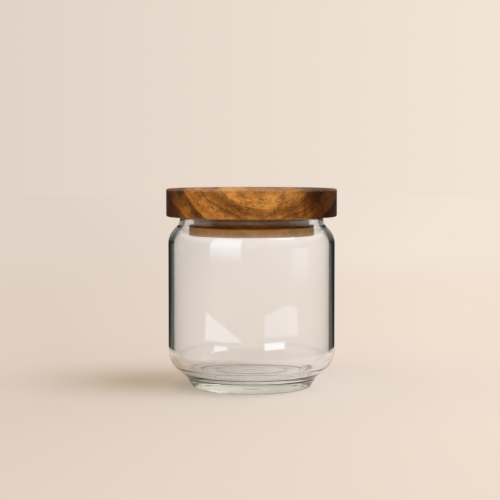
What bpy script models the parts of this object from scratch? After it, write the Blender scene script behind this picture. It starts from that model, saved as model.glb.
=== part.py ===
"""Glass pantry jar, closed by a turned wooden lid with a clear seal ring.

Metres, Z up. The jar stands on Z = 0 and its axis is the Z axis. Three pieces come
apart on the bench: the pressed glass, the finned seal ring and the wooden lid, whose
cap and plug are turned from one block.
"""

import math

import bpy
from mathutils import Matrix, Vector

# Glass: body and wall
BODY_RADIUS = 0.0488
GLASS_HEIGHT = 0.1000
WALL = 0.0032

# Glass: mouth, neck and shoulder
MOUTH_RADIUS = 0.0390
NECK_WALL = 0.0030
NECK_HEIGHT = 0.0037
NECK_FILLET = 0.0075
RIM_FILLET = 0.0012
SHOULDER_FALL = 0.0073
SHOULDER_FILLET = 0.0120

# Glass: heel, stepped foot and thick base
HEEL_SLOPE = math.radians(41)
HEEL_FILLET = 0.0135
FOOT_HEIGHT = 0.0063
FOOT_RADIUS = 0.0346
FOOT_FLARE = 0.0036
FOOT_FILLET = 0.0008
FOOT_EDGE = 0.0015
FOOT_RING = 0.0038
FLOOR_HEIGHT = 0.0068
FLOOR_CROWN = 0.0004
FLOOR_FILLET = 0.0170
RECESS_EDGE = 0.0006
RECESS_STEP = 0.0008
RECESS_DOME = 0.0008

# Wooden lid: cap above the rim, plug inside the mouth
LID_RADIUS = 0.0500
LID_THICKNESS = 0.0162
LID_TOP_EDGE = 0.0011
LID_LOWER_EDGE = 0.0010
PLUG_DEPTH = 0.0096
PLUG_MARGIN = 0.0022
PLUG_EDGE = 0.0010
FLANGE_HEIGHT = 0.0032
FLANGE_EDGE = 0.0004
GROOVE_DEPTH = 0.0030

# Seal ring: a core that lies in the groove, with fins that bear on the mouth
SEAL_CORE = 0.0012
SEAL_EDGE = 0.0003
FIN_COUNT = 2
FIN_ROOT = 0.0012
FIN_TIP = 0.0004
FIN_RISE = 0.0005

# Gaps between pieces that touch
SEAT_GAP = 0.0003
GROOVE_GAP = 0.0003
FIN_GAP = 0.0003

# Facets: how far a chord may stray from its arc, and how many sides a full turn has.
# Fillets on one side of an outline may fill this share of it.
FACET_SAG = 0.00007
TURN_STEPS = 60
DOME_SHARES = (0.0, 0.35, 0.65, 0.88)
SIDE_SHARE = 0.98
LEAST_TURN = math.radians(1)
WELD = 0.00001
SHARP_ANGLE = math.radians(40)

COLLECTION = "pantry_jar"


def clear_scene():
    """Remove every object of the scene."""
    for obj in list(bpy.data.objects):
        bpy.data.objects.remove(obj, do_unlink=True)


def turn_between(way_in, way_out):
    """Signed turn from one direction to the next, anticlockwise positive."""
    cross = way_in.x * way_out.y - way_in.y * way_out.x
    return math.atan2(cross, way_in.dot(way_out))


def arc(corner, way_in, way_out, reach):
    """Points of the arc that touches both sides of a corner, reach away from it."""
    turn = turn_between(way_in, way_out)
    if reach <= 0 or abs(turn) < LEAST_TURN:
        return [corner]
    radius = reach / math.tan(abs(turn) / 2)
    start = corner - way_in * reach
    centre = start + Vector((-way_in.y, way_in.x)) * math.copysign(radius, turn)
    widest = 2 * math.acos(max(0.0, 1 - FACET_SAG / radius))
    steps = max(1, math.ceil(abs(turn) / widest))
    return [
        centre + Matrix.Rotation(turn * step / steps, 2) @ (start - centre)
        for step in range(steps + 1)
    ]


def rounded(corners, closed=False):
    """Outline through (radius, height, fillet) corners, each rounded by its fillet.

    Where two fillets need more than the side between them has, both shrink to fit.
    An open outline keeps its two ends as they are.
    """
    points = [Vector(corner[:2]) for corner in corners]
    count = len(points)
    sides = [points[(i + 1) % count] - points[i] for i in range(count)]
    ways = [side.normalized() for side in sides]
    reaches = [
        corners[i][2] * math.tan(abs(turn_between(ways[i - 1], ways[i])) / 2)
        for i in range(count)
    ]
    if not closed:
        reaches[0] = reaches[-1] = 0.0
    fits = []
    for i in range(count):
        wanted = reaches[i] + reaches[(i + 1) % count]
        room = SIDE_SHARE * sides[i].length
        fits.append(min(1.0, room / wanted) if wanted > 0 else 1.0)
    outline = []
    for i in range(count):
        reach = reaches[i] * min(fits[i - 1], fits[i])
        outline += arc(points[i], ways[i - 1], ways[i], reach)
    return outline


def dome(radius, height, rise):
    """Corners of a shallow dome, from its top on the axis to just short of its edge."""
    return [(radius * s, height + rise * (1 - s * s), 0.0) for s in DOME_SHARES]


def neck_radius():
    """Outer radius of the neck."""
    return MOUTH_RADIUS + NECK_WALL


def shoulder_line(radius, inset):
    """Height of the shoulder's straight flank at a radius, inset into the glass."""
    run = BODY_RADIUS - neck_radius()
    slant = math.hypot(run, SHOULDER_FALL)
    top = GLASS_HEIGHT - NECK_HEIGHT
    return top - (radius - neck_radius()) * SHOULDER_FALL / run - inset * slant / run


def heel_line(radius, inset):
    """Height of the heel's straight flank at a radius, inset into the glass."""
    foot_top = FOOT_RADIUS + FOOT_FLARE
    rise = (radius - foot_top) * math.tan(HEEL_SLOPE)
    return FOOT_HEIGHT + rise + inset / math.cos(HEEL_SLOPE)


def floor_corner():
    """Radius where the inner flank of the heel would meet the floor."""
    depth = heel_line(BODY_RADIUS, WALL) - FLOOR_HEIGHT
    return BODY_RADIUS - depth / math.tan(HEEL_SLOPE)


def glass_outline():
    """Half section of the glass: floor, inner wall, rim, outer wall, heel, foot, underside."""
    inner = BODY_RADIUS - WALL
    foot_top = FOOT_RADIUS + FOOT_FLARE
    ring_inner = FOOT_RADIUS - FOOT_RING
    recess = ring_inner - RECESS_STEP
    flat = floor_corner() - FLOOR_FILLET * math.tan(HEEL_SLOPE / 2)
    corners = dome(flat, FLOOR_HEIGHT, FLOOR_CROWN)
    corners += [
        (floor_corner(), FLOOR_HEIGHT, FLOOR_FILLET),
        (inner, heel_line(inner, WALL), HEEL_FILLET - WALL),
        (inner, shoulder_line(inner, WALL), SHOULDER_FILLET - WALL),
        (MOUTH_RADIUS, shoulder_line(MOUTH_RADIUS, WALL), NECK_FILLET + WALL),
        (MOUTH_RADIUS, GLASS_HEIGHT, RIM_FILLET),
        (neck_radius(), GLASS_HEIGHT, RIM_FILLET),
        (neck_radius(), shoulder_line(neck_radius(), 0.0), NECK_FILLET),
        (BODY_RADIUS, shoulder_line(BODY_RADIUS, 0.0), SHOULDER_FILLET),
        (BODY_RADIUS, heel_line(BODY_RADIUS, 0.0), HEEL_FILLET),
        (foot_top, FOOT_HEIGHT, FOOT_FILLET),
        (FOOT_RADIUS, 0.0, FOOT_EDGE),
        (ring_inner, 0.0, RECESS_EDGE),
        (recess, RECESS_STEP, RECESS_EDGE),
    ]
    corners += reversed(dome(recess, RECESS_STEP, RECESS_DOME))
    return rounded(corners)


def lid_underside():
    """Height of the flat that rests on the rim of the glass."""
    return GLASS_HEIGHT + SEAT_GAP


def plug_radius():
    """Radius of the flange at the lower end of the plug."""
    return MOUTH_RADIUS - PLUG_MARGIN


def groove_radius():
    """Radius of the floor of the groove that holds the seal ring."""
    return plug_radius() - GROOVE_DEPTH


def flange_top():
    """Height of the flange's upper face, the lower side of the groove."""
    return lid_underside() - PLUG_DEPTH + FLANGE_HEIGHT


def lid_outline():
    """Half section of the lid: cap, groove and flange, turned from one block."""
    top = lid_underside() + LID_THICKNESS
    bottom = lid_underside() - PLUG_DEPTH
    return rounded(
        [
            (0.0, top, 0.0),
            (LID_RADIUS, top, LID_TOP_EDGE),
            (LID_RADIUS, lid_underside(), LID_LOWER_EDGE),
            (groove_radius(), lid_underside(), 0.0),
            (groove_radius(), flange_top(), 0.0),
            (plug_radius(), flange_top(), FLANGE_EDGE),
            (plug_radius(), bottom, PLUG_EDGE),
            (0.0, bottom, 0.0),
        ]
    )


def seal_outline():
    """Closed section of the seal ring: a flat core and upswept fins that reach the mouth."""
    inner = groove_radius() + GROOVE_GAP
    core = inner + SEAL_CORE
    tip = MOUTH_RADIUS - FIN_GAP
    top = lid_underside() - GROOVE_GAP
    bottom = flange_top() + GROOVE_GAP
    pitch = (top - bottom) / FIN_COUNT
    corners = [(inner, top, SEAL_EDGE), (core, top, SEAL_EDGE)]
    for fin in range(FIN_COUNT):
        root = top - pitch * (fin + 1) + pitch / 2 - FIN_RISE / 2
        corners += [
            (core, root + FIN_ROOT / 2, SEAL_EDGE),
            (tip, root + FIN_RISE + FIN_TIP / 2, FIN_TIP / 2),
            (tip, root + FIN_RISE - FIN_TIP / 2, FIN_TIP / 2),
            (core, root - FIN_ROOT / 2, SEAL_EDGE),
        ]
    corners += [(core, bottom, SEAL_EDGE), (inner, bottom, SEAL_EDGE)]
    return rounded(corners, closed=True)


def finish(name, colour, roughness, transmission=0.0, ior=1.45):
    """Principled material with the piece's own colour, gloss and clearness."""
    material = bpy.data.materials.new(name)
    material.use_nodes = True
    shader = material.node_tree.nodes["Principled BSDF"]
    shader.inputs["Base Color"].default_value = (*colour, 1.0)
    shader.inputs["Roughness"].default_value = roughness
    shader.inputs["Metallic"].default_value = 0.0
    shader.inputs["Transmission Weight"].default_value = transmission
    shader.inputs["IOR"].default_value = ior
    return material


def turned(name, outline, material, collection, closed=False, origin=0.0):
    """Object turned from an outline, with its own origin on the axis at a height."""
    count = len(outline)
    ends = count if closed else count - 1
    profile = bpy.data.meshes.new(name + "_profile")
    profile.from_pydata(
        [(point.x, 0.0, point.y - origin) for point in outline],
        [(i, (i + 1) % count) for i in range(ends)],
        [],
    )
    obj = bpy.data.objects.new(name, profile)
    collection.objects.link(obj)
    screw = obj.modifiers.new("Turn", "SCREW")
    screw.axis = "Z"
    screw.steps = TURN_STEPS
    screw.render_steps = TURN_STEPS
    screw.use_merge_vertices = True
    screw.merge_threshold = WELD
    graph = bpy.context.evaluated_depsgraph_get()
    solid = bpy.data.meshes.new_from_object(obj.evaluated_get(graph))
    obj.modifiers.clear()
    obj.data = solid
    bpy.data.meshes.remove(profile)
    solid.name = name
    solid.shade_smooth()
    solid.set_sharp_from_angle(angle=SHARP_ANGLE)
    solid.materials.append(material)
    obj.location.z = origin
    return obj


def carry(child, parent):
    """Parent a piece so that it stays where it is and moves with its carrier."""
    child.parent = parent
    child.matrix_parent_inverse = Matrix.Translation(parent.location).inverted()


def build():
    """Make the jar's three pieces, each turned on the jar's axis."""
    clear_scene()
    pieces = bpy.data.collections.new(COLLECTION)
    bpy.context.scene.collection.children.link(pieces)

    glass = finish("clear_glass", (0.95, 0.98, 0.96), 0.02, transmission=1.0, ior=1.52)
    wood = finish("oiled_acacia", (0.36, 0.16, 0.045), 0.45)
    silicone = finish("clear_silicone", (0.86, 0.86, 0.82), 0.25, transmission=0.8, ior=1.41)

    seat = lid_underside()
    jar = turned("glass_jar", glass_outline(), glass, pieces)
    seal = turned("seal_ring", seal_outline(), silicone, pieces, closed=True, origin=seat)
    lid = turned("wooden_lid", lid_outline(), wood, pieces, origin=seat)
    carry(seal, jar)
    carry(lid, seal)


build()
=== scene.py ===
"""Clear glass pantry jar with a press-in wooden lid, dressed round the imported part.

Metres, Z up, the jar's axis on Z and its foot on Z = 0. The three pieces are turned again
from the same half sections as the solids, with finer steps, and dressed as pressed glass,
oiled acacia and clear silicone. A pale table, a soft sun and reflector cards make the studio.
"""

import logging
import math
from dataclasses import dataclass, field
from enum import Enum
from typing import Any, Optional, Union

import bmesh
import bpy
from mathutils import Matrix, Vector


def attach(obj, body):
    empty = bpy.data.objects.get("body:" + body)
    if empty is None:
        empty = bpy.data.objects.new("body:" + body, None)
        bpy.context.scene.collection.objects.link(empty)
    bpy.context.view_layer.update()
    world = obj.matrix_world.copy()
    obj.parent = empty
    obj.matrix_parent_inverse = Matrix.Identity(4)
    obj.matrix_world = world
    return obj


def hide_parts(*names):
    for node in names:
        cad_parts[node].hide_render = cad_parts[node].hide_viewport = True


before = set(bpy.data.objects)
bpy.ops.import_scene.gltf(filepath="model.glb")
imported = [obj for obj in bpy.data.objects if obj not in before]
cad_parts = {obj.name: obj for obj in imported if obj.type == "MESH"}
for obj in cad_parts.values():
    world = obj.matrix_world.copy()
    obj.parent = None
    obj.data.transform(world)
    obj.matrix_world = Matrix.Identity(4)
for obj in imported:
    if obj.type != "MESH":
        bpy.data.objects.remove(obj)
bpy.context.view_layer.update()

log = logging.getLogger("pantry_jar")

Colour = tuple[float, float, float]
Pair = tuple[float, float]
Values = Optional[dict[Any, Any]]
Node = bpy.types.Node
Material = bpy.types.Material
Thing = bpy.types.Object
Shape = bmesh.types.BMesh


# Shader maths


class Signal:
    """One output socket, on which shader maths is written as plain expressions."""

    def __init__(self, graph: "Graph", socket: bpy.types.NodeSocket) -> None:
        """Wrap an output socket of a graph."""
        self.graph = graph
        self.socket = socket

    def maths(self, operation: str, *others: Any) -> "Signal":
        """Put this signal through a Math node, with values or signals at its other inputs."""
        values = dict(enumerate((self, *others)))
        return self.graph.add("ShaderNodeMath", {"operation": operation}, values)

    def __add__(self, other: Any) -> "Signal":
        """Sum with a value or signal."""
        return self.maths("ADD", other)

    def __radd__(self, other: Any) -> "Signal":
        """Sum with a value on the left."""
        return self.maths("ADD", other)

    def __sub__(self, other: Any) -> "Signal":
        """Take a value or signal off."""
        return self.maths("SUBTRACT", other)

    def __rsub__(self, other: Any) -> "Signal":
        """Take this signal off a value."""
        return self.graph.add("ShaderNodeMath", {"operation": "SUBTRACT"}, {0: other, 1: self})

    def __mul__(self, other: Any) -> "Signal":
        """Product with a value or signal."""
        return self.maths("MULTIPLY", other)

    def __rmul__(self, other: Any) -> "Signal":
        """Product with a value on the left."""
        return self.maths("MULTIPLY", other)

    def __truediv__(self, other: Any) -> "Signal":
        """Divide by a value or signal."""
        return self.maths("DIVIDE", other)

    def __rtruediv__(self, other: Any) -> "Signal":
        """Divide a value by this signal."""
        return self.graph.add("ShaderNodeMath", {"operation": "DIVIDE"}, {0: other, 1: self})

    def __pow__(self, other: Any) -> "Signal":
        """Raise to a power."""
        return self.maths("POWER", other)

    def __neg__(self) -> "Signal":
        """Change the sign."""
        return self.maths("MULTIPLY", -1.0)

    def __abs__(self) -> "Signal":
        """Drop the sign."""
        return self.maths("ABSOLUTE")

    def __gt__(self, other: Any) -> "Signal":
        """Give 1 where this signal is the greater."""
        return self.maths("GREATER_THAN", other)

    def __lt__(self, other: Any) -> "Signal":
        """Give 1 where this signal is the lesser."""
        return self.maths("LESS_THAN", other)

    def most(self, other: Any) -> "Signal":
        """Give the greater of two."""
        return self.maths("MAXIMUM", other)

    def least(self, other: Any) -> "Signal":
        """Give the lesser of two."""
        return self.maths("MINIMUM", other)

    def rise(self, low: float, high: float) -> "Signal":
        """Go smoothly from 0 at low to 1 at high."""
        inputs = {"Value": self, "From Min": low, "From Max": high}
        return self.graph.add("ShaderNodeMapRange", {"interpolation_type": "SMOOTHSTEP"}, inputs)


@dataclass(frozen=True)
class Grain:
    """A noise: its scale, its octaves and how strong the finer ones are."""

    scale: float
    detail: float = 2.0
    roughness: float = 0.5


class Graph:
    """A material's or a world's node tree, with one method that adds any node."""

    def __init__(self, owner: Union[Material, bpy.types.World]) -> None:
        """Empty the owner's tree and keep it.

        Args:
            owner: The material or world to make nodes for.
        """
        owner.use_nodes = True
        self.tree = owner.node_tree
        self.tree.nodes.clear()
        of_world = isinstance(owner, bpy.types.World)
        kind = "ShaderNodeOutputWorld" if of_world else "ShaderNodeOutputMaterial"
        self.output = self.tree.nodes.new(kind)

    def node(self, kind: str, settings: Values = None, inputs: Values = None) -> Node:
        """Add a node.

        Args:
            kind: The node's type.
            settings: What is set first, such as an operation or a ramp's stops.
            inputs: Values, signals or nodes for its sockets, by name or number.

        Returns:
            The node.
        """
        made = self.tree.nodes.new(kind)
        for name, value in (settings or {}).items():
            if name == "stops":
                self.set_stops(made.color_ramp, value)
            else:
                setattr(made, name, value)
        for key, value in (inputs or {}).items():
            if isinstance(value, Signal):
                self.tree.links.new(value.socket, made.inputs[key])
            elif isinstance(value, Node):
                self.tree.links.new(value.outputs[0], made.inputs[key])
            else:
                made.inputs[key].default_value = value
        return made

    def add(self, kind: str, settings: Values = None, inputs: Values = None, out: Any = 0) -> Signal:
        """Add a node and give one of its outputs, by name or number."""
        return Signal(self, self.node(kind, settings, inputs).outputs[out])

    @staticmethod
    def set_stops(ramp: bpy.types.ColorRamp, stops: list[tuple[float, Colour]]) -> None:
        """Give a ramp its stops.

        Args:
            ramp: The ramp to fill.
            stops: Place and colour of each stop, in rising order.
        """
        while len(ramp.elements) < len(stops):
            ramp.elements.new(1.0)
        for element, (place, colour) in zip(ramp.elements, stops):
            element.position = place
            element.color = (*colour, 1.0)

    def blend(self, factor: Any, low: Any, high: Any, mode: str = "MIX") -> Signal:
        """Mix two colours.

        Args:
            factor: 0 for the low colour, 1 for the high one.
            low: A colour or a colour signal.
            high: A colour or a colour signal.
            mode: The Mix node's blend type.

        Returns:
            The mixed colour.
        """
        settings = {"data_type": "RGBA", "blend_type": mode}
        inputs = {0: factor}
        for key, value in ((6, low), (7, high)):
            inputs[key] = value if isinstance(value, Signal) else (*value, 1.0)
        return self.add("ShaderNodeMix", settings, inputs, out=2)

    def vector(self, operation: str, first: Any, second: Any) -> Signal:
        """Put two vectors or vector signals through a Vector Math node."""
        return self.add("ShaderNodeVectorMath", {"operation": operation}, {0: first, 1: second})

    def scale(self, vector: Any, gain: Any) -> Signal:
        """Scale a vector or colour by a value or signal."""
        return self.add("ShaderNodeVectorMath", {"operation": "SCALE"}, {0: vector, "Scale": gain})

    def noise(self, place: Signal, grain: Grain, colour: bool = False) -> Signal:
        """Add a noise, about 0.5 on average, or three of them as a colour."""
        inputs = {"Vector": place, "Scale": grain.scale, "Detail": grain.detail, "Roughness": grain.roughness}
        return self.add("ShaderNodeTexNoise", {}, inputs, out=1 if colour else 0)

    def place(self) -> Signal:
        """Give the Object coordinates."""
        return self.add("ShaderNodeTexCoord", out="Object")

    def axes(self, vector: Signal) -> tuple[Signal, Signal, Signal]:
        """Split a vector into its x, y and z."""
        parts = self.node("ShaderNodeSeparateXYZ", {}, {0: vector})
        return tuple(Signal(self, socket) for socket in parts.outputs)

    def join(self, x: Any, y: Any, z: Any) -> Signal:
        """Make a vector of three values or signals."""
        return self.add("ShaderNodeCombineXYZ", {}, {0: x, 1: y, 2: z})

    def bump(self, height: Signal, distance: float, strength: float = 1.0) -> Signal:
        """Turn a height into a normal; the distance says how far a height of 1 stands out."""
        return self.add("ShaderNodeBump", {}, {"Strength": strength, "Distance": distance, "Height": height})

    def ray(self, out: str) -> Signal:
        """Give an output of the Light Path node."""
        return self.add("ShaderNodeLightPath", out=out)

    def glow(self, colour: Any, strength: float = 1.0) -> Node:
        """Add a shader that gives off a colour, whatever light falls on it."""
        return self.node("ShaderNodeEmission", {}, {"Color": colour, "Strength": strength})

    def clear(self, colour: Colour = (1.0, 1.0, 1.0)) -> Node:
        """Add a shader that lets everything straight through."""
        return self.node("ShaderNodeBsdfTransparent", {}, {0: (*colour, 1.0)})

    def mix(self, factor: Signal, low: Node, high: Node) -> Node:
        """Mix two shaders, where 0 gives the low one and 1 the high one."""
        return self.node("ShaderNodeMixShader", {}, {0: factor, 1: low, 2: high})

    def lit_through(self, shader: Node, shade: float, cast: Colour = (1.0, 1.0, 1.0)) -> Node:
        """Let the lamps' light straight through a shader, apart from a share kept as shade."""
        return self.mix(self.ray("Is Shadow Ray") * (1.0 - shade), shader, self.clear(cast))

    def finish(self, surface: Node, volume: Optional[Node] = None) -> None:
        """Link the surface, and the volume if there is one, to the output.

        Args:
            surface: The surface's shader.
            volume: The volume's shader.
        """
        self.tree.links.new(surface.outputs[0], self.output.inputs["Surface"])
        if volume is not None:
            self.tree.links.new(volume.outputs[0], self.output.inputs["Volume"])


# Finishes


class Finish:
    """Anything that has a look: it makes its material, and paint says how."""

    def paint(self, g: Graph) -> None:
        """Add the material's nodes to its empty graph."""
        raise NotImplementedError

    def material(self, name: str) -> Material:
        """Make the material.

        Args:
            name: The material's name.

        Returns:
            The material.
        """
        made = bpy.data.materials.new(name)
        self.paint(Graph(made))
        return made


@dataclass(frozen=True)
class PressedGlass(Finish):
    """Polished pressed glass, clear, with a faint green-grey in the thick base.

    Smudges dull it a little, broad ripples bend what is seen through it, and the underside of
    the foot has fine rings. Most of the lamps' light goes straight through.
    """

    name: str = "clear_glass"
    tint: Colour = (0.992, 0.994, 0.996)
    smudge_tint: float = 0.985
    smudges: Grain = Grain(38.0, 4.0, 0.6)
    smudge_reach: Pair = (0.45, 0.75)
    dull_reach: Pair = (0.5, 0.8)
    dullness: float = 0.0035
    depth_colour: Colour = (0.705, 0.805, 0.740)
    density: float = 12.0
    index: float = 1.5
    ripples: Grain = Grain(55.0, 1.0)
    ripple_depth: float = 0.00003
    shade: float = 0.10
    cast: Colour = (0.985, 0.975, 0.94)
    neck: Pair = (0.0950, 0.0960)
    haze: float = 0.005
    rings: Grain = Grain(420.0, 2.0)
    rings_rise: float = 7.0
    rings_drift: float = 0.02
    rings_top: Pair = (0.00096, 0.0016)

    def paint(self, g: Graph) -> None:
        """Make the glass.

        Args:
            g: The material's graph.
        """
        place = g.place()
        x, y, z = g.axes(place)
        smudges = g.noise(place, self.smudges)
        smudged = tuple(part * self.smudge_tint for part in self.tint)
        away = (x * x + y * y) ** 0.5
        rings = g.noise(g.join(away, x * self.rings_drift, y * self.rings_drift), self.rings)
        rings = rings * (1.0 - z.rise(*self.rings_top)) * self.rings_rise
        waves = g.noise(place, self.ripples) + rings
        glass = g.node(
            "ShaderNodeBsdfPrincipled",
            {"distribution": "GGX"},
            {
                "Base Color": g.blend(smudges.rise(*self.smudge_reach), self.tint, smudged),
                "Roughness": smudges.rise(*self.dull_reach) * self.dullness + z.rise(*self.neck) * self.haze,
                "Metallic": 0.0,
                "Transmission Weight": 1.0,
                "IOR": self.index,
                "Normal": g.bump(waves, self.ripple_depth),
            },
        )
        depth = g.node(
            "ShaderNodeVolumeAbsorption",
            {},
            {"Color": (*self.depth_colour, 1.0), "Density": self.density},
        )
        g.finish(g.lit_through(glass, self.shade, self.cast), depth)


@dataclass(frozen=True)
class Stain:
    """One layer of the wood's colour: where a signal rises, the layer's strength and colour."""

    start: float
    end: float
    share: float
    colour: Colour
    mode: str = "MULTIPLY"

    def over(self, body: Signal, signal: Signal) -> Signal:
        """Lay the stain over a colour where the signal rises."""
        factor = signal.rise(self.start, self.end) * self.share
        return signal.graph.blend(factor, body, self.colour, self.mode)


@dataclass(frozen=True)
class OiledAcacia(Finish):
    """Oiled acacia in the solid: growth rings about a pith above the lid, fibres along Y.

    The rings show as a smile on the lid's front and as long stripes on its top. The wood is
    darker towards both sides, partly its own darker heart and partly painted shade where the
    lid turns from the light. The flange is paler with painted light from inside the jar, the
    groove is darkest with painted shade, and the rounded edges are paler, partly worn wood
    and partly painted highlight.

    A run says how slowly a noise changes along the fibres. A fray says how far a noise moves
    an edge. Each end, edge, wear_and_light and face is where a rule starts and where it is
    full: a height, or the groove's distance from the axis.
    """

    name: str = "oiled_acacia"
    pith: Pair = (0.0075, 0.1427)
    warp: float = 0.009
    streak_fray: float = 0.00416
    line_fray: float = 0.00156
    ring_start: float = 0.018
    ring_end: float = 0.078
    rings: tuple[tuple[float, Colour], ...] = (
        (0.0180, (0.40, 0.178, 0.045)), (0.0240, (0.56, 0.255, 0.066)),
        (0.0275, (0.45, 0.196, 0.050)), (0.0300, (0.72, 0.336, 0.085)),
        (0.0340, (0.81, 0.386, 0.103)), (0.0362, (0.69, 0.319, 0.076)),
        (0.0378, (0.44, 0.190, 0.042)), (0.0395, (0.30, 0.122, 0.027)),
        (0.0412, (0.40, 0.168, 0.036)), (0.0428, (0.56, 0.245, 0.056)),
        (0.0437, (0.26, 0.104, 0.024)), (0.0450, (0.63, 0.274, 0.063)),
        (0.0475, (0.69, 0.302, 0.065)), (0.0500, (0.49, 0.202, 0.045)),
        (0.0518, (0.65, 0.255, 0.050)), (0.0532, (0.12, 0.045, 0.012)),
        (0.0550, (0.16, 0.059, 0.015)), (0.0570, (0.38, 0.148, 0.031)),
        (0.0600, (0.54, 0.201, 0.038)), (0.0630, (0.20, 0.074, 0.018)),
        (0.0680, (0.30, 0.117, 0.026)), (0.0760, (0.18, 0.068, 0.017)),
    )
    bend: Grain = Grain(30.0, 4.0, 0.55)
    bend_run: float = 0.35
    lines: Grain = Grain(1300.0, 5.0, 0.65)
    streaks: Grain = Grain(300.0, 5.0, 0.65)
    line_run: Pair = (0.12, 0.06)
    clouds: Grain = Grain(90.0, 5.0, 0.62)
    mottle: Grain = Grain(420.0, 4.0, 0.65)
    crowd: Grain = Grain(180.0, 3.0)
    cloud_run: float = 0.3
    pores: Grain = Grain(2600.0, 2.0, 0.5)
    pore_run: Pair = (0.30, 0.12)
    wear_and_light_grain: Grain = Grain(260.0, 3.0)
    arc_length: float = 0.045
    clouding: Stain = Stain(0.48, 0.68, 0.60, (0.44, 0.35, 0.27))
    clearing: Stain = Stain(0.52, 0.72, 0.40, (0.62, 0.285, 0.068), "MIX")
    mottling: Stain = Stain(0.42, 0.64, 0.45, (0.58, 0.48, 0.38))
    streaking: Stain = Stain(0.50, 0.68, 0.45, (0.46, 0.36, 0.27))
    dark_lines: Stain = Stain(0.52, 0.66, 0.50, (0.40, 0.30, 0.22))
    pale_lines: Stain = Stain(0.54, 0.70, 0.30, (0.70, 0.340, 0.095), "MIX")
    right_side: Stain = Stain(0.008, 0.032, 0.85, (0.60, 0.50, 0.40))
    vein: Colour = (0.13, 0.050, 0.014)
    vein_level: float = 0.47
    vein_thinness: float = 26.0
    vein_clouds: Pair = (0.40, 0.58)
    vein_share: float = 0.55
    heart_and_side_shade: Colour = (0.135, 0.100, 0.030)
    heart_and_side_shade_shift: float = 0.0060
    heart_and_side_shade_fray: Pair = (0.018, 0.010)
    heart_and_side_shade_reach: Pair = (0.027, 0.043)
    heart_and_side_shade_share: float = 0.80
    pore: Colour = (0.060, 0.022, 0.007)
    pore_reach: Pair = (0.53, 0.64)
    pore_share: float = 0.66
    crowd_reach: Pair = (0.32, 0.62)
    crowd_least: float = 0.35
    flange_painted_light: Colour = (0.80, 0.47, 0.215)
    flange_painted_light_share: float = 0.90
    flange_painted_light_mottle: float = 0.50
    flange_end: Pair = (0.0922, 0.0932)
    shaded: Colour = (0.24, 0.090, 0.012)
    shaded_mottle: float = 0.60
    groove_end: Pair = (0.0999, 0.1004)
    groove_edge: Pair = (0.0370, 0.0380)
    bare_and_highlit: Colour = (0.55, 0.32, 0.15)
    wear_and_light_reach: Pair = (0.3, 0.6)
    wear_and_light_share: float = 0.18
    top_wear_and_light: Pair = (0.1152, 0.1160)
    top_face: Pair = (0.11642, 0.11649)
    low_wear_and_light: Pair = (0.1005, 0.1013)
    low_face: Pair = (0.1001, 0.1004)
    grain_depth: float = 0.00008
    grain_strength: float = 0.7
    line_height: float = 0.35
    pore_height: float = 0.9
    mottle_height: float = 0.15
    index: float = 1.33
    specular: float = 0.08
    roughness: float = 0.46
    pore_dulls: float = 0.22
    mottle_dulls: float = 0.18
    wear_shines: float = 0.06
    coat: float = 0.02
    pore_dries: float = 0.015
    coat_roughness: float = 0.30

    def paint(self, g: Graph) -> None:
        """Make the wood.

        Args:
            g: The material's graph.
        """
        place = g.place()
        x, y, z = g.axes(place)
        bent = g.noise(g.join(x, y * self.bend_run, z), self.bend, colour=True)
        bent = g.vector("SUBTRACT", bent, (0.5, 0.5, 0.5))
        shift = g.vector("MULTIPLY", bent, (self.warp, 0.0, self.warp))
        px, py, pz = g.axes(g.vector("ADD", place, shift))
        dx = px - self.pith[0]
        dz = self.pith[1] - pz
        radius = (dx * dx + dz * dz) ** 0.5
        arc = dx.maths("ARCTAN2", dz) * self.arc_length
        along = g.join(radius, arc * self.line_run[0], py * self.line_run[1])
        lines = g.noise(along, self.lines)
        streaks = g.noise(along, self.streaks)
        cloud = g.noise(g.join(px, py * self.cloud_run, pz), self.clouds)
        mottle = g.noise(g.join(x, y * self.cloud_run, z), self.mottle)

        ringed = radius + (streaks - 0.5) * self.streak_fray + (lines - 0.5) * self.line_fray
        span = self.ring_end - self.ring_start
        stops = [((where - self.ring_start) / span, colour) for where, colour in self.rings]
        body = g.add("ShaderNodeValToRGB", {"stops": stops}, {0: (ringed - self.ring_start) / span})
        for stain, signal in (
            (self.clouding, cloud),
            (self.clearing, 1.0 - cloud),
            (self.mottling, mottle),
            (self.streaking, streaks),
            (self.dark_lines, lines),
            (self.pale_lines, 1.0 - lines),
            (self.right_side, x),
        ):
            body = stain.over(body, signal)

        veins = (1.0 - abs(streaks - self.vein_level) * self.vein_thinness).most(0.0)
        veins = veins * cloud.rise(*self.vein_clouds)
        body = g.blend(veins * self.vein_share, body, self.vein)

        # Darker towards both sides of the lid: partly the wood's darker heart, partly painted shade where the
        # sides turn from the light.
        frayed = (streaks - 0.5) * self.heart_and_side_shade_fray[0] + (mottle - 0.5) * self.heart_and_side_shade_fray[1]
        heart_and_side_shade = abs(x + self.heart_and_side_shade_shift + frayed).rise(*self.heart_and_side_shade_reach)
        heart_and_side_shade = heart_and_side_shade * (self.heart_and_side_shade_share + cloud * (1.0 - self.heart_and_side_shade_share))
        body = g.blend(heart_and_side_shade, body, self.heart_and_side_shade, "MULTIPLY")

        fibre = g.join(radius, arc * self.pore_run[0], py * self.pore_run[1])
        crowd = g.noise(g.join(px, py * self.cloud_run, pz), self.crowd).rise(*self.crowd_reach)
        pores = g.noise(fibre, self.pores).rise(*self.pore_reach)
        pores = pores * (self.crowd_least + crowd * (1.0 - self.crowd_least))
        body = g.blend(pores * self.pore_share, body, self.pore)

        away = (x * x + y * y) ** 0.5
        flange = 1.0 - z.rise(*self.flange_end)
        groove = (1.0 - flange) * (1.0 - z.rise(*self.groove_end)) * (1.0 - away.rise(*self.groove_edge))
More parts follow.
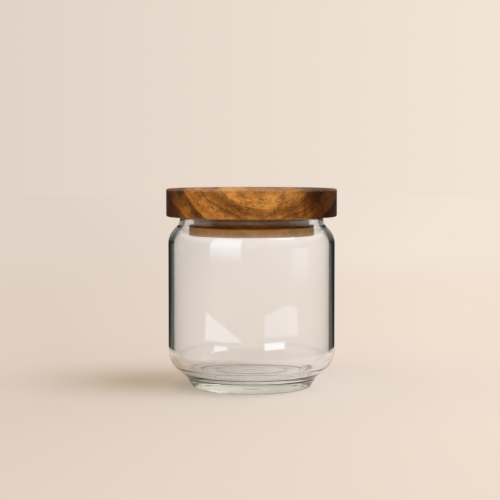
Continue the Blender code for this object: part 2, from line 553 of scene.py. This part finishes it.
        # Paler flange: painted light, for the light that reaches it from inside the jar.
        body = g.blend(flange * (self.flange_painted_light_share - mottle * self.flange_painted_light_mottle), body, self.flange_painted_light)
        body = g.blend(groove * (1.0 - mottle * self.shaded_mottle), body, self.shaded)

        # Paler along the rounded top and lower edges, broken up by noise: partly worn wood, partly painted
        # highlight along the edges.
        top_edge = z.rise(*self.top_wear_and_light) * (1.0 - z.rise(*self.top_face))
        low_edge = (1.0 - z.rise(*self.low_wear_and_light)) * z.rise(*self.low_face)
        worn_and_highlit = (top_edge + low_edge).least(1.0) * g.noise(place, self.wear_and_light_grain).rise(*self.wear_and_light_reach)
        body = g.blend(worn_and_highlit * self.wear_and_light_share, body, self.bare_and_highlit)

        dulled = pores * self.pore_dulls + (mottle - 0.5) * self.mottle_dulls - worn_and_highlit * self.wear_shines
        height = lines * self.line_height - pores * self.pore_height + mottle * self.mottle_height
        wood = g.node(
            "ShaderNodeBsdfPrincipled",
            {},
            {
                "Base Color": body,
                "Roughness": self.roughness + dulled,
                "Metallic": 0.0,
                "IOR": self.index,
                "Specular IOR Level": self.specular,
                "Coat Weight": self.coat - pores * self.pore_dries,
                "Coat Roughness": self.coat_roughness,
                "Normal": g.bump(height, self.grain_depth, self.grain_strength),
            },
        )
        g.finish(wood)


@dataclass(frozen=True)
class ClearSilicone(Finish):
    """Clear satin silicone with a faint bloom of dust.

    Roughness and cover each give what is there without the noise, and what the noise adds.
    """

    name: str = "clear_silicone"
    colour: Colour = (0.95, 0.95, 0.93)
    bloom: Colour = (0.86, 0.85, 0.82)
    bloom_reach: Pair = (0.35, 0.7)
    dust: Grain = Grain(420.0, 4.0, 0.6)
    dust_depth: float = 0.00002
    dust_strength: float = 0.5
    cloud: Grain = Grain(60.0)
    roughness: Pair = (0.03, 0.08)
    cover: Pair = (0.14, 0.12)
    index: float = 1.41
    shade: float = 0.1

    def paint(self, g: Graph) -> None:
        """Make the silicone.

        Args:
            g: The material's graph.
        """
        place = g.place()
        dust = g.noise(place, self.dust)
        cloud = g.noise(place, self.cloud)
        silicone = g.node(
            "ShaderNodeBsdfPrincipled",
            {},
            {
                "Base Color": g.blend(cloud.rise(*self.bloom_reach), self.colour, self.bloom),
                "Roughness": self.roughness[0] + dust * self.roughness[1],
                "Metallic": 0.0,
                "Transmission Weight": 1.0,
                "IOR": self.index,
                "Alpha": self.cover[0] + cloud * self.cover[1],
                "Normal": g.bump(dust, self.dust_depth, self.dust_strength),
            },
        )
        g.finish(g.lit_through(silicone, self.shade))


# Turning


def sweep(shape: Shape, parts: list[Any], angle: float, steps: int) -> None:
    """Sweep parts of a shape about the jar's axis.

    Args:
        shape: The shape.
        parts: The vertices and edges to sweep.
        angle: How far, in radians. A full turn closes on itself.
        steps: How many steps the sweep has.
    """
    bmesh.ops.spin(
        shape, geom=parts, cent=(0.0, 0.0, 0.0), axis=(0.0, 0.0, 1.0), dvec=(0.0, 0.0, 0.0),
        angle=angle, steps=steps, use_merge=angle == math.tau, use_duplicate=False,
    )


def set_down(shape: Shape, name: str) -> Thing:
    """Put a drawn shape in the scene.

    Args:
        shape: The shape, which is freed.
        name: The name of the object and its mesh.

    Returns:
        The object, at the origin with its place in its mesh.
    """
    mesh = bpy.data.meshes.new(name)
    shape.to_mesh(mesh)
    shape.free()
    made = bpy.data.objects.new(name, mesh)
    bpy.context.scene.collection.objects.link(made)
    return made


@dataclass(frozen=True)
class Corner:
    """A corner of a half section, and the fillet that rounds it."""

    radius: float
    height: float
    fillet: float = 0.0


@dataclass
class HalfSection:
    """A half section of named corners, drawn and turned about the jar's axis.

    Two fillets that need more than the side between them has both shrink to fit.
    """

    corners: list[Corner]
    closed: bool = False
    sag: float = 0.0000025
    side_share: float = 0.98
    least_turn: float = math.radians(1)
    least_steps: int = 3
    hold: float = 0.00018
    long_side: float = 0.00108
    weld: float = 0.000001

    @staticmethod
    def turn_between(way_in: Vector, way_out: Vector) -> float:
        """Measure the turn from one direction to the next, positive from X towards Z."""
        cross = way_in.x * way_out.z - way_in.z * way_out.x
        return math.atan2(cross, way_in.dot(way_out))

    def reaches(self, turns: list[float], lengths: list[float]) -> list[float]:
        """Work out how far each fillet reaches along its sides.

        Args:
            turns: The signed turn at each corner.
            lengths: The length of the side after each corner.

        Returns:
            The reach of each corner's fillet.
        """
        count = len(self.corners)
        wanted = [corner.fillet * math.tan(abs(turn) / 2) for corner, turn in zip(self.corners, turns)]
        if not self.closed:
            wanted[0] = wanted[-1] = 0.0
        fits = []
        for i in range(count):
            need = wanted[i] + wanted[(i + 1) % count]
            fits.append(min(1.0, self.side_share * lengths[i] / need) if need > 0 else 1.0)
        return [wanted[i] * min(fits[i - 1], fits[i]) for i in range(count)]

    def run(self, shape: Shape, tip: bmesh.types.BMVert, target: Vector) -> bmesh.types.BMVert:
        """Extrude the tip to a point, with a short hold at both ends of a long side.

        Args:
            shape: The mesh that is drawn.
            tip: The vertex that the line has reached.
            target: Where it goes.

        Returns:
            The new tip.
        """
        way = target - tip.co
        length = way.length
        if length < self.weld:
            return tip
        places = [target]
        if length > self.long_side:
            step = way.normalized() * self.hold
            places = [tip.co + step, target - step, target]
        for place in places:
            made = bmesh.ops.extrude_vert_indiv(shape, verts=[tip])["verts"]
            bmesh.ops.translate(shape, verts=made, vec=place - tip.co)
            tip = made[0]
        return tip

    def draw(self, shape: Shape) -> None:
        """Draw the half section as one line in the XZ plane.

        Args:
            shape: The mesh to draw in.
        """
        spots = [Vector((corner.radius, 0.0, corner.height)) for corner in self.corners]
        count = len(spots)
        sides = [spots[(i + 1) % count] - spots[i] for i in range(count)]
        ways = [side.normalized() for side in sides]
        turns = [self.turn_between(ways[i - 1], ways[i]) for i in range(count)]
        reaches = self.reaches(turns, [side.length for side in sides])
        first = tip = None
        for i, spot in enumerate(spots):
            start = spot - ways[i - 1] * reaches[i]
            if tip is None:
                first = tip = shape.verts.new(start)
            else:
                tip = self.run(shape, tip, start)
            if reaches[i] <= 0 or abs(turns[i]) < self.least_turn:
                continue
            radius = reaches[i] / math.tan(abs(turns[i]) / 2)
            left = Vector((-ways[i - 1].z, 0.0, ways[i - 1].x))
            centre = start + left * math.copysign(radius, turns[i])
            widest = 2 * math.acos(1 - self.sag / radius)
            steps = max(self.least_steps, math.ceil(abs(turns[i]) / widest))
            swept = bmesh.ops.spin(
                shape, geom=[tip], cent=centre, axis=(0.0, -1.0, 0.0), dvec=(0.0, 0.0, 0.0),
                angle=turns[i], steps=steps, use_merge=False, use_duplicate=False,
            )
            tip = next(item for item in swept["geom_last"] if isinstance(item, bmesh.types.BMVert))
        if self.closed:
            shape.edges.new((tip, first))

    def turn(self, name: str, sides: int, crease: float) -> Thing:
        """Turn the half section into a closed solid.

        Args:
            name: The object's name.
            sides: How many sides the full turn has.
            crease: The angle from which an edge stays sharp.

        Returns:
            The object, at the origin with its place in its mesh.
        """
        shape = bmesh.new()
        self.draw(shape)
        sweep(shape, [*shape.verts, *shape.edges], math.tau, sides)
        bmesh.ops.remove_doubles(shape, verts=shape.verts, dist=self.weld)
        bmesh.ops.recalc_face_normals(shape, faces=shape.faces)
        made = set_down(shape, name)
        made.data.shade_smooth()
        made.data.set_sharp_from_angle(angle=crease)
        return made


# Pieces


class Body(Enum):
    """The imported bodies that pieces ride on."""

    JAR = "jar"
    SEAL = "seal"
    LID = "lid"


def dress(piece: Thing, material: Material, body: Body, node: str) -> None:
    """Give a piece its finish, its body and the node that it stands for.

    Args:
        piece: The piece.
        material: Its finish.
        body: The body that it rides on.
        node: The CAD node that it replaces.
    """
    piece.data.materials.append(material)
    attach(piece, body.value)
    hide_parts(node)
    log.info("%s: %d faces on %s for %s", piece.name, len(piece.data.polygons), body.value, node)


@dataclass
class GlassBody:
    """The pressed glass: rim, neck, shoulder, body, heel, thick base and stepped foot."""

    body_radius: float = 0.0488
    height: float = 0.1000
    wall: float = 0.0032
    mouth_radius: float = 0.0390
    neck_wall: float = 0.0030
    neck_height: float = 0.0037
    neck_fillet: float = 0.0075
    rim_fillet: float = 0.0012
    shoulder_fall: float = 0.0073
    shoulder_fillet: float = 0.0120
    heel_slope: float = math.radians(41)
    heel_fillet: float = 0.0135
    foot_height: float = 0.0063
    foot_radius: float = 0.0346
    foot_flare: float = 0.0036
    foot_fillet: float = 0.0008
    foot_edge: float = 0.0015
    foot_ring: float = 0.0038
    floor_height: float = 0.0068
    floor_crown: float = 0.0004
    floor_fillet: float = 0.0170
    mark_radius: float = 0.0212
    mark_width: float = 0.0011
    mark_rise: float = 0.00022
    valve_radius: float = 0.0038
    valve_top_radius: float = 0.0028
    valve_rise: float = 0.00015
    recess_edge: float = 0.0006
    recess_step: float = 0.0008
    recess_dome: float = 0.0008
    dome_shares: tuple[float, ...] = (0.0, 0.2, 0.35, 0.5, 0.65, 0.78, 0.9)
    sides: int = 256
    crease: float = math.radians(60)
    finish: PressedGlass = field(default_factory=PressedGlass)

    def neck_radius(self) -> float:
        """Give the neck's outer radius."""
        return self.mouth_radius + self.neck_wall

    def shoulder_line(self, radius: float, inset: float) -> float:
        """Find the height of the shoulder's flank.

        Args:
            radius: Where, from the axis.
            inset: How deep in the glass.

        Returns:
            The height there.
        """
        run = self.body_radius - self.neck_radius()
        slant = math.hypot(run, self.shoulder_fall)
        top = self.height - self.neck_height
        return top - (radius - self.neck_radius()) * self.shoulder_fall / run - inset * slant / run

    def heel_line(self, radius: float, inset: float) -> float:
        """Find the height of the heel's flank at a radius, for a face so deep in the glass."""
        rise = (radius - self.foot_radius - self.foot_flare) * math.tan(self.heel_slope)
        return self.foot_height + rise + inset / math.cos(self.heel_slope)

    def floor_corner(self) -> float:
        """Find the radius where the inner flank of the heel would meet the floor."""
        depth = self.heel_line(self.body_radius, self.wall) - self.floor_height
        return self.body_radius - depth / math.tan(self.heel_slope)

    def dome(self, radius: float, height: float, rise: float) -> list[Corner]:
        """Make the corners of a shallow dome, from its top to just short of its edge."""
        return [Corner(radius * s, height + rise * (1 - s * s), radius) for s in self.dome_shares]

    def floor(self, flat: float) -> list[Corner]:
        """Make the floor's corners: a shallow dome with the press's ring and valve mark.

        Args:
            flat: The radius where the floor starts to turn up.

        Returns:
            The corners from the axis outwards.
        """
        def level(radius: float) -> float:
            """Give the dome's height at a radius."""
            return self.floor_height + self.floor_crown * (1 - (radius / flat) ** 2)

        inner = self.mark_radius - self.mark_width
        outer = self.mark_radius + self.mark_width
        plain = self.dome(flat, self.floor_height, self.floor_crown)
        valve = [
            Corner(0.0, level(0.0) + self.valve_rise),
            Corner(self.valve_top_radius, level(self.valve_top_radius) + self.valve_rise, self.mark_width),
            Corner(self.valve_radius, level(self.valve_radius), self.mark_width),
        ]
        ring = [
            Corner(inner, level(inner), self.mark_width),
            Corner(self.mark_radius, level(self.mark_radius) + self.mark_rise, self.mark_width),
            Corner(outer, level(outer), self.mark_width),
        ]
        between = [corner for corner in plain if self.valve_radius < corner.radius < inner]
        beyond = [corner for corner in plain if corner.radius > outer]
        return [*valve, *between, *ring, *beyond]

    def section(self) -> HalfSection:
        """Make the half section: floor, inner wall, rim, outer wall, heel, foot, underside.

        Returns:
            The half section.
        """
        inner = self.body_radius - self.wall
        throat = self.shoulder_line(self.mouth_radius, self.wall)
        foot_top = self.foot_radius + self.foot_flare
        ring_inner = self.foot_radius - self.foot_ring
        recess = ring_inner - self.recess_step
        neck = self.neck_radius()
        flat = self.floor_corner() - self.floor_fillet * math.tan(self.heel_slope / 2)
        corners = self.floor(flat)
        corners += [
            Corner(self.floor_corner(), self.floor_height, self.floor_fillet),
            Corner(inner, self.heel_line(inner, self.wall), self.heel_fillet - self.wall),
            Corner(inner, self.shoulder_line(inner, self.wall), self.shoulder_fillet - self.wall),
            Corner(self.mouth_radius, throat, self.neck_fillet + self.wall),
            Corner(self.mouth_radius, self.height, self.rim_fillet),
            Corner(neck, self.height, self.rim_fillet),
            Corner(neck, self.shoulder_line(neck, 0.0), self.neck_fillet),
            Corner(self.body_radius, self.shoulder_line(self.body_radius, 0.0), self.shoulder_fillet),
            Corner(self.body_radius, self.heel_line(self.body_radius, 0.0), self.heel_fillet),
            Corner(foot_top, self.foot_height, self.foot_fillet),
            Corner(self.foot_radius, 0.0, self.foot_edge),
            Corner(ring_inner, 0.0, self.recess_edge),
            Corner(recess, self.recess_step, self.recess_edge),
        ]
        corners += reversed(self.dome(recess, self.recess_step, self.recess_dome))
        return HalfSection(corners)

    def build(self) -> Thing:
        """Turn the glass and dress it.

        Returns:
            The piece.
        """
        piece = self.section().turn("pressed_glass_body", self.sides, self.crease)
        dress(piece, self.finish.material(self.finish.name), Body.JAR, "glass_jar")
        return piece


@dataclass
class WoodenLid:
    """The lid: cap, groove and flange, turned from one block of wood."""

    seat: float = 0.1003
    radius: float = 0.0500
    thickness: float = 0.0162
    top_edge: float = 0.0011
    lower_edge: float = 0.0010
    plug_depth: float = 0.0096
    plug_radius: float = 0.0368
    plug_edge: float = 0.0010
    flange_height: float = 0.0032
    flange_edge: float = 0.0004
    groove_depth: float = 0.0030
    sides: int = 224
    crease: float = math.radians(40)
    finish: OiledAcacia = field(default_factory=OiledAcacia)

    def section(self) -> HalfSection:
        """Make the half section: top, cap's side, underside, groove, flange, plug's end.

        Returns:
            The half section.
        """
        top = self.seat + self.thickness
        bottom = self.seat - self.plug_depth
        groove = self.plug_radius - self.groove_depth
        flange_top = bottom + self.flange_height
        return HalfSection(
            [
                Corner(0.0, top),
                Corner(self.radius, top, self.top_edge),
                Corner(self.radius, self.seat, self.lower_edge),
                Corner(groove, self.seat),
                Corner(groove, flange_top),
                Corner(self.plug_radius, flange_top, self.flange_edge),
                Corner(self.plug_radius, bottom, self.plug_edge),
                Corner(0.0, bottom),
            ]
        )

    def build(self) -> Thing:
        """Turn the lid and dress it.

        Returns:
            The piece.
        """
        piece = self.section().turn("acacia_lid", self.sides, self.crease)
        dress(piece, self.finish.material(self.finish.name), Body.LID, "wooden_lid")
        return piece


@dataclass
class SealRing:
    """The clear ring in the plug's groove: a flat core and upswept fins."""

    inner: float = 0.0341
    core: float = 0.0353
    tip: float = 0.0387
    top: float = 0.1000
    bottom: float = 0.0942
    edge: float = 0.0003
    fins: int = 2
    fin_root: float = 0.0012
    fin_tip: float = 0.0004
    fin_rise: float = 0.0005
    sides: int = 224
    crease: float = math.radians(50)
    finish: ClearSilicone = field(default_factory=ClearSilicone)

    def section(self) -> HalfSection:
        """Make the closed section of core and fins.

        Returns:
            The section.
        """
        pitch = (self.top - self.bottom) / self.fins
        corners = [Corner(self.inner, self.top, self.edge), Corner(self.core, self.top, self.edge)]
        for fin in range(self.fins):
            root = self.top - pitch * (fin + 1) + pitch / 2 - self.fin_rise / 2
            corners += [
                Corner(self.core, root + self.fin_root / 2, self.edge),
                Corner(self.tip, root + self.fin_rise + self.fin_tip / 2, self.fin_tip / 2),
                Corner(self.tip, root + self.fin_rise - self.fin_tip / 2, self.fin_tip / 2),
                Corner(self.core, root - self.fin_root / 2, self.edge),
            ]
        corners += [Corner(self.core, self.bottom, self.edge), Corner(self.inner, self.bottom, self.edge)]
        return HalfSection(corners, closed=True)

    def build(self) -> Thing:
        """Turn the ring and dress it.

        Returns:
            The piece.
        """
        piece = self.section().turn("finned_seal_ring", self.sides, self.crease)
        dress(piece, self.finish.material(self.finish.name), Body.SEAL, "seal_ring")
        return piece


# Studio

FEW_PASSES = 2.5
ANY_PASSES = 99.0


def set_on_stage(shape: Shape, name: str, material: Material, plain: bool = True) -> None:
    """Put a drawn shape in the scene, beside the model.

    Args:
        shape: The shape.
        name: The object's name.
        material: Its material.
        plain: False for one that only mirroring and clear surfaces show.
    """
    piece = set_down(shape, name)
    material.cycles.emission_sampling = "NONE"
    piece.data.materials.append(material)
    if not plain:
        piece.visible_camera = piece.visible_shadow = piece.visible_diffuse = False


def draw_band(start: Vector, reach: Vector, angle: float, steps: int) -> Shape:
    """Draw a straight line and sweep it about the jar's axis.

    Args:
        start: The line's start.
        reach: The way from there to its end.
        angle: How far it is swept, in radians.
        steps: How many steps the sweep has.

    Returns:
        The shape.
    """
    shape = bmesh.new()
    tip = shape.verts.new(start)
    made = bmesh.ops.extrude_vert_indiv(shape, verts=[tip])
    bmesh.ops.translate(shape, verts=made["verts"], vec=reach)
    sweep(shape, made["edges"], angle, steps)
    return shape


@dataclass(frozen=True)
class Backdrop:
    """The pale surroundings, and the dark that the edges of the glass show.

    A ray that the glass turned back, on its outside or on its inner wall, sees the dark of
    the room, as the edges of real glass do: on the table past its lit middle, and low in the
    world at the sides. Sides say how far to the right or left, from 0 to 1, a rule starts and
    is full. Tops are the heights in the world between which it ends.
    """

    colour: Colour = (0.820, 0.712, 0.622)
    dark: Colour = (0.026, 0.028, 0.025)
    grey: Colour = (0.150, 0.146, 0.134)
    light: Colour = (0.805, 0.700, 0.570)
    front: float = 0.35
    slope: float = 0.55
    widest: float = 0.16
    lift: Colour = (1.09, 1.12, 1.18)
    dim: float = 0.08
    dim_sides: Pair = (0.03, 0.12)
    edge_sides: Pair = (0.04, 0.12)
    edge_top: Pair = (0.30, 0.45)
    horizon: Pair = (-0.004, 0.004)
    deep_sides: Pair = (0.15, 0.30)
    deep_top: Pair = (0.16, 0.50)
    pale_rise: Pair = (0.0, 0.14)
    pale_least: float = 0.10
    pale_gain: float = 0.85

    @staticmethod
    def turned_back(g: Graph, passes: float = FEW_PASSES) -> tuple[Signal, Signal]:
        """Give 1 for rays that the glass turned back.

        Args:
            g: The graph to add to.
            passes: The most glass faces that a ray off the inner wall has passed.

        Returns:
            The signal of rays off the outside, and of those off the inner wall.
        """
        passed = g.ray("Transmission Depth")
        turned = g.ray("Glossy Depth") > 0.5
        return turned * (passed < 0.5), turned * (passed > 1.5) * (passed < passes)

    def level(self, g: Graph, across: Signal, colour: Colour) -> Signal:
        """Work out how bright a pale surface is for a ray.

        Args:
            g: The graph to add to.
            across: How far to the right it looks, from -1 to 1.
            colour: The surface's colour.

        Returns:
            The colour: lighter to the right, and lighter through clear glass.
        """
        straight = (g.ray("Transmission Depth") > 0.5) * (g.ray("Glossy Depth") < 0.5)
        gain = 1.0 + across.most(-self.widest).least(self.widest) * self.slope
        gain = gain * (1.0 - straight * (-across).rise(*self.dim_sides) * self.dim)
        lifted = g.blend(straight, (1.0, 1.0, 1.0), self.lift)
        return g.scale(g.vector("MULTIPLY", lifted, colour), gain)

    def seen(
        self, g: Graph, across: Signal, low: Any, deep: Any, pale: Any, passes: float = FEW_PASSES
    ) -> Signal:
        """Work out the colour that a ray sees.

        Args:
            g: The graph to add to.
            across: How far to the right it looks, from -1 to 1.
            low: 1 where rays off the outside see the dark.
            deep: 1 where rays off the inner wall see it.
            pale: How far the dark turns to grey for rays off the inner wall.
            passes: The most glass faces that those have passed.

        Returns:
            The colour.
        """
        outside, inside = self.turned_back(g, passes)
        dark = g.blend(inside * pale, self.dark, self.grey)
        return g.blend(outside * low + inside * deep, self.level(g, across, self.colour), dark)

    def world(self) -> None:
        """Make the world: the backdrop for rays that see it, soft light for the rest."""
        world = bpy.data.worlds.new("studio")
        bpy.context.scene.world = world
        g = Graph(world)
        x, y, z = g.axes(g.add("ShaderNodeTexCoord", out="Generated"))
        looks = g.ray("Is Camera Ray").most(g.ray("Is Glossy Ray")).most(g.ray("Is Transmission Ray"))
        looks = looks * (g.ray("Diffuse Depth") < 0.5)
        light = g.scale(self.light, 1.0 - y * self.front)
        across = x / (x * x + y * y) ** 0.5
        edge = g.ray("Is Singular Ray") * abs(across).rise(*self.edge_sides) * (1.0 - z.rise(*self.edge_top))
        low = (1.0 - z.rise(*self.horizon)).most(edge)
        pale = z.rise(*self.pale_rise) * self.pale_gain + self.pale_least
        deep = (1.0 - z.rise(*self.deep_top)) * abs(across).rise(*self.deep_sides)
        colour = g.blend(looks, light, self.seen(g, across, low, deep, pale, ANY_PASSES))
        g.finish(g.node("ShaderNodeBackground", {}, {"Color": colour, "Strength": 1.0}))


@dataclass
class Table(Finish):
    """The table: lit and shadowed near the jar, one with the backdrop far away.

    A faint pool of its own light round the foot stands for the light that the glass gathers
    there.
    """

    backdrop: Backdrop
    radius: float = 4.0
    drop: float = 0.0002
    lit: float = 0.60
    faded: float = 1.30
    dark_start: float = 0.197
    dark_end: float = 0.208
    colour: Colour = (0.792, 0.711, 0.642)
    pool_inner: float = 0.022
    foot: float = 0.034
    pool_outer: float = 0.095
    pool_light: float = 0.30
    pool_lean: float = 0.8
    grey_sides: Pair = (0.46, 0.54)
    middle: float = 0.001
    calm_middle: float = 0.6
    sides: int = 96

    def build(self) -> None:
        """Make the table top."""
        shape = bmesh.new()
        bmesh.ops.create_circle(shape, cap_ends=True, radius=self.radius, segments=self.sides)
        bmesh.ops.translate(shape, verts=shape.verts, vec=(0.0, 0.0, -self.drop))
        set_on_stage(shape, "table_top", self.material("pale_table"))

    def paint(self, g: Graph) -> None:
        """Make the table's paint.

        Args:
            g: The material's graph.
        """
        x, y, _ = g.axes(g.place())
        away = (x * x + y * y) ** 0.5
        far = away.rise(self.dark_start, self.dark_end)
        across = x / (away + self.middle)
        narrow = x / (away + self.calm_middle)
        lit = g.node("ShaderNodeBsdfDiffuse", {}, {"Color": self.backdrop.level(g, narrow, self.colour)})
        seen = self.backdrop.seen(g, across, far, far, abs(across).rise(*self.grey_sides))
        outside, inside = self.backdrop.turned_back(g)
        hidden = ((outside + inside) * far).most(away.rise(self.lit, self.faded))
        pool = away.rise(self.pool_inner, self.foot) * (1.0 - away.rise(self.foot, self.pool_outer))
        hidden = hidden.most(pool * (across + self.pool_lean).most(0.0) * self.pool_light)
        g.finish(g.mix(hidden, lit, g.glow(seen)))


@dataclass
class ReflectorCard(Finish):
    """A bright card that shows only in the glass: a soft-edged sector round the jar.

    It lies on the table from near to far, or stands at one distance up to a height. Its
    outer edge falls off on both sides of a peak. Soft is how much of its reach fades at the
    start and at the end. Its angles are in degrees to the right of the viewer.
    """

    name: str
    from_angle: float
    to_angle: float
    near: float
    far: float
    strength: float
    top: float = 0.0
    peak: float = 0.0
    fall: float = 0.0
    soft: Pair = (0.12, 0.12)
    soft_angle: float = 4.0
    lift: float = 0.001
    steps: int = 24
    colour: Colour = (0.68, 0.88, 1.05)

    def build(self) -> None:
        """Make the card."""
        angle = math.radians(self.from_angle)
        width = math.radians(self.to_angle - self.from_angle)
        way = Vector((math.sin(angle), -math.cos(angle), 0.0))
        start = way * self.near + Vector((0.0, 0.0, self.lift))
        reach = way * (self.far - self.near) + Vector((0.0, 0.0, self.top))
        shape = draw_band(start, reach, width, self.steps)
        bmesh.ops.recalc_face_normals(shape, faces=shape.faces)
        set_on_stage(shape, self.name, self.material(self.name + "_glow"), plain=False)

    def paint(self, g: Graph) -> None:
        """Make the card's glow.

        Args:
            g: The material's graph.
        """
        x, y, z = g.axes(g.place())
        angle = x.maths("ARCTAN2", -y) * math.degrees(1.0)
        if self.top > 0:
            share = (z - self.lift) / self.top
        else:
            share = ((x * x + y * y) ** 0.5 - self.near) / (self.far - self.near)
        width = self.to_angle - self.from_angle
        edge = 1.0 - abs(angle - self.peak) * (self.fall / width)
        sides = angle.rise(self.from_angle, self.from_angle + self.soft_angle)
        sides = sides * (1.0 - angle.rise(self.to_angle - self.soft_angle, self.to_angle))
        shown = sides * share.rise(0.0, self.soft[0]) * (1.0 - share.rise(edge - self.soft[1], edge))
        mirrored = (g.ray("Glossy Depth") > 0.5) * (g.ray("Transmission Depth") < 0.5)
        shown = shown * mirrored * g.ray("Is Singular Ray")
        g.finish(g.mix(shown, g.clear(), g.glow((*self.colour, 1.0), self.strength)))


@dataclass
class FootRing(Finish):
    """A pale ring just over the table, seen only from below by rays turned back in the glass.

    It hides the dark of the room from the foot, which stands in its own light.
    """

    backdrop: Backdrop
    inner: float = 0.055
    outer: float = 1.5
    height: float = 0.022
    sides: int = 64

    def build(self) -> None:
        """Make the ring."""
        start = Vector((self.inner, 0.0, self.height))
        reach = Vector((self.outer - self.inner, 0.0, 0.0))
        shape = draw_band(start, reach, math.tau, self.sides)
        set_on_stage(shape, "foot_ring", self.material("foot_ring_glow"), plain=False)

    def paint(self, g: Graph) -> None:
        """Make the ring's glow.

        Args:
            g: The material's graph.
        """
        x, y, _ = g.axes(g.place())
        across = x / (x * x + y * y) ** 0.5
        below = g.add("ShaderNodeNewGeometry", out="Backfacing")
        inside = self.backdrop.turned_back(g, ANY_PASSES)[1]
        colour = self.backdrop.level(g, across, self.backdrop.colour)
        g.finish(g.mix(inside * below, g.clear(), g.glow(colour)))


@dataclass
class Studio:
    """Table, backdrop, lamps, reflector cards and the photograph's camera."""

    backdrop: Backdrop = field(default_factory=Backdrop)
    sun_way: tuple[float, float, float] = (-0.575, 0.236, -1.0)
    sun_power: float = 1.27
    sun_spread: float = math.radians(34)
    sun_colour: Colour = (0.64, 0.79, 1.0)
    camera_place: tuple[float, float, float] = (-0.0009, -0.935, 0.1385)
    camera_pitch: float = math.radians(3.552)
    lens: float = 114.8
    sensor: float = 36.0
    clip: Pair = (0.05, 20.0)

    def lamp(self) -> None:
        """Hang the soft sun on the right, a little in front."""
        data = bpy.data.lights.new("soft_sun", "SUN")
        data.energy = self.sun_power
        data.angle = self.sun_spread
        data.color = self.sun_colour
        lamp = bpy.data.objects.new("soft_sun", data)
        lamp.visible_glossy = False
        lamp.rotation_mode = "QUATERNION"
        lamp.rotation_quaternion = Vector(self.sun_way).to_track_quat("-Z", "Y")
        bpy.context.scene.collection.objects.link(lamp)

    def camera(self) -> None:
        """Stand the camera where the photograph was taken from."""
        data = bpy.data.cameras.new("photo_camera")
        data.lens = self.lens
        data.sensor_width = self.sensor
        data.clip_start, data.clip_end = self.clip
        camera = bpy.data.objects.new("photo_camera", data)
        camera.location = self.camera_place
        camera.rotation_euler = (math.pi / 2 - self.camera_pitch, 0.0, 0.0)
        bpy.context.scene.collection.objects.link(camera)
        bpy.context.scene.camera = camera

    def cards(self) -> list[ReflectorCard]:
        """List the bright cards that the glass shows."""
        return [
            ReflectorCard("card_upper_left", -60.0, -12.0, 1.08, 1.62, 4.2, soft=(0.7, 0.02)),
            ReflectorCard("card_tall_left", -60.0, -12.0, 1.62, 1.62, 5.4, top=1.90, soft=(0.01, 0.35)),
            ReflectorCard(
                "card_lower_left", -64.0, -9.0, 0.290, 0.51, 3.6, peak=-60.0, fall=0.95, soft=(0.08, 0.15)
            ),
            ReflectorCard("card_spot_left", -49.0, -28.0, 0.243, 0.283, 5.6, soft=(0.3, 0.3)),
            ReflectorCard("card_lower_right", 14.0, 64.0, 0.318, 0.605, 2.3, peak=48.0, fall=0.62),
            ReflectorCard("card_spot_right", 14.0, 44.0, 0.250, 0.303, 8.0, soft=(0.2, 0.2)),
            ReflectorCard("card_faint_right", 52.0, 86.0, 0.62, 1.62, 1.3, soft=(0.5, 0.02), soft_angle=8.0),
            ReflectorCard(
                "card_tall_right", 16.0, 74.0, 1.62, 1.62, 1.2, top=2.40, soft=(0.35, 0.25), soft_angle=12.0
            ),
        ]

    def build(self) -> None:
        """Set up the studio."""
        self.backdrop.world()
        Table(self.backdrop).build()
        FootRing(self.backdrop).build()
        for card in self.cards():
            card.build()
        self.lamp()
        self.camera()
        bpy.context.scene.view_settings.view_transform = "Standard"


def main() -> None:
    """Build the jar's pieces in order, then the studio round them."""
    logging.basicConfig(level=logging.INFO, format="%(name)s: %(message)s")
    for maker in (GlassBody(), SealRing(), WoodenLid()):
        piece = maker.build()
        log.info("%s: %d triangles", piece.name, sum(len(face.vertices) - 2 for face in piece.data.polygons))
    Studio().build()


if __name__ == "__main__":
    main()
